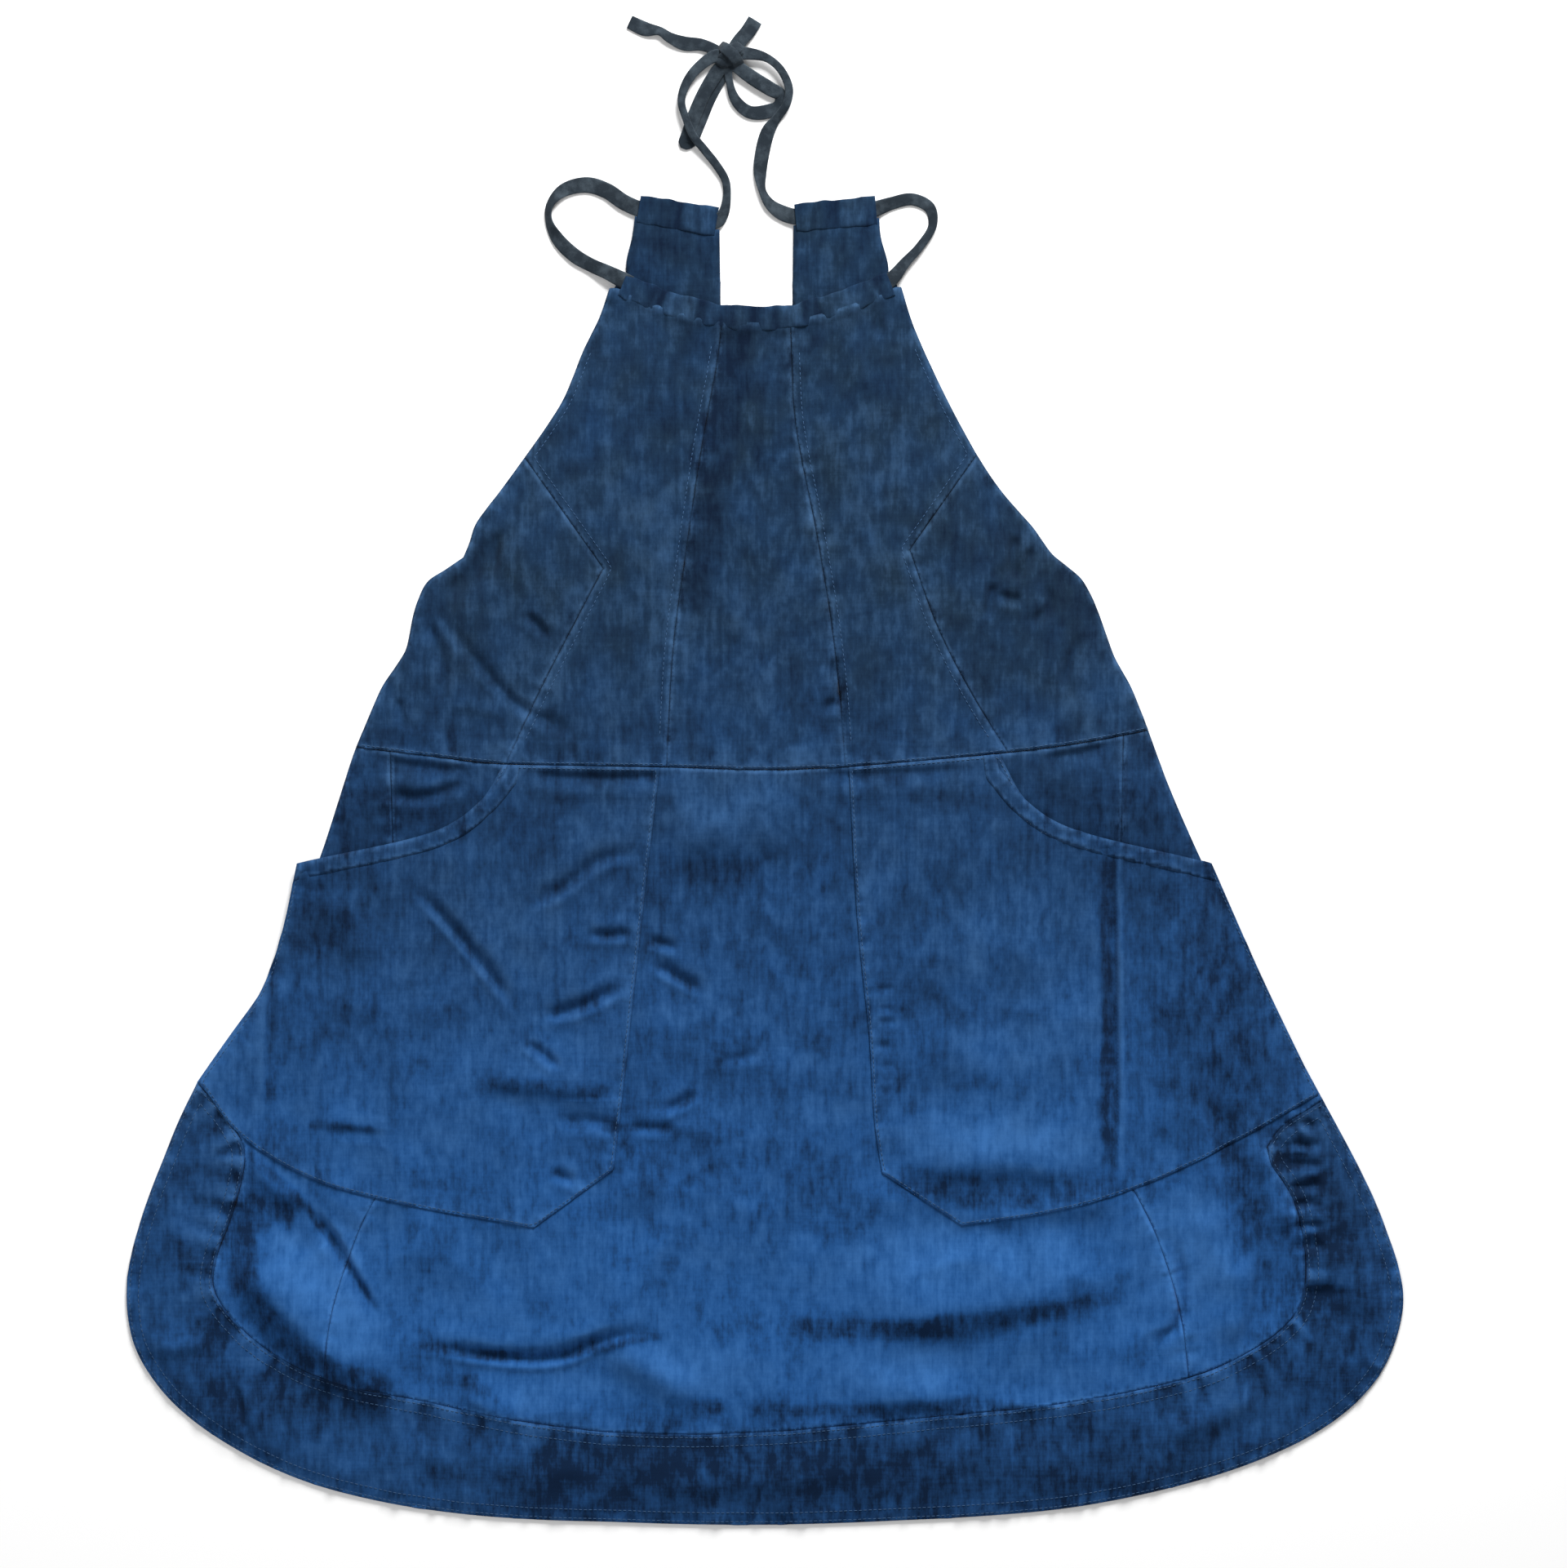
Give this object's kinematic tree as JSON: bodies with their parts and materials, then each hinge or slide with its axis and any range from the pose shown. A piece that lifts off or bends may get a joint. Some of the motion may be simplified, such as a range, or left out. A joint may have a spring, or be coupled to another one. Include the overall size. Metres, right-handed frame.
{
  "type": "artist smock apron",
  "caption": "Halter smock apron in blue denim, with a drawstring neck tied in a bow, seamed bib, flared skirt, two slanted patch pockets and a wide hem band.",
  "frame": {"origin": "centre of the garment's plan box, on the surface that it lies on, with the hanging tie left out", "axes": "+X to the right seen from the front, +Y from the hem towards the neck, +Z out of the front"},
  "size_m": [0.884, 1.0481, 0.016],
  "materials": {
    "denim_bodice": "matte, lightly slubbed denim, washed and a little darker than the skirt",
    "denim_skirt": "matte, lightly slubbed denim with vertical streaks",
    "denim_pocket": "matte denim, worn pale along its seams",
    "denim_hem": "matte denim, puckered at the seam",
    "tie_tape": "matte folded cotton tape, darker and greyer than the cloth"
  },
  "bodies": {
    "skirt": {"skirt_front": "denim_skirt", "hem_band_front": "denim_hem", "waist_strip_front": "denim_bodice", "pocket_left": "denim_pocket", "pocket_facing_left": "denim_pocket", "skirt_back_left": "denim_skirt", "skirt_back_left_wrap": "denim_skirt", "skirt_back_left_fold": "denim_skirt", "hem_band_back_left": "denim_hem", "waist_strip_back_left": "denim_bodice", "pocket_right": "denim_pocket", "pocket_facing_right": "denim_pocket", "skirt_back_right": "denim_skirt", "skirt_back_right_wrap": "denim_skirt", "skirt_back_right_fold": "denim_skirt", "hem_band_back_right": "denim_hem", "waist_strip_back_right": "denim_bodice"},
    "bodice": {"bib_centre": "denim_bodice", "front_neck_casing": "denim_bodice", "tie_front_run": "tie_tape", "bow_knot": "tie_tape", "bib_inner_left": "denim_bodice", "bib_side_left": "denim_bodice", "bodice_side_seam_left": "denim_bodice", "armhole_facing_left": "denim_bodice", "bodice_back_left": "denim_bodice", "tab_casing_left": "denim_bodice", "tie_tab_run_left": "tie_tape", "tie_shoulder_loop_left": "tie_tape", "tie_neck_left": "tie_tape", "bow_loop_left": "tie_tape", "bow_tail_left": "tie_tape", "bib_inner_right": "denim_bodice", "bib_side_right": "denim_bodice", "bodice_side_seam_right": "denim_bodice", "armhole_facing_right": "denim_bodice", "bodice_back_right": "denim_bodice", "tab_casing_right": "denim_bodice", "tie_tab_run_right": "tie_tape", "tie_shoulder_loop_right": "tie_tape", "tie_neck_right": "tie_tape", "bow_loop_right": "tie_tape", "bow_tail_right": "tie_tape"}
  },
  "joints": [
    {"name": "waist_fold", "type": "hinge", "parent": "skirt", "child": "bodice", "pos_m": [0, 0.0975, 0.0085], "axis": [1, 0, 0], "range_deg": [0, 165]}
  ]
}
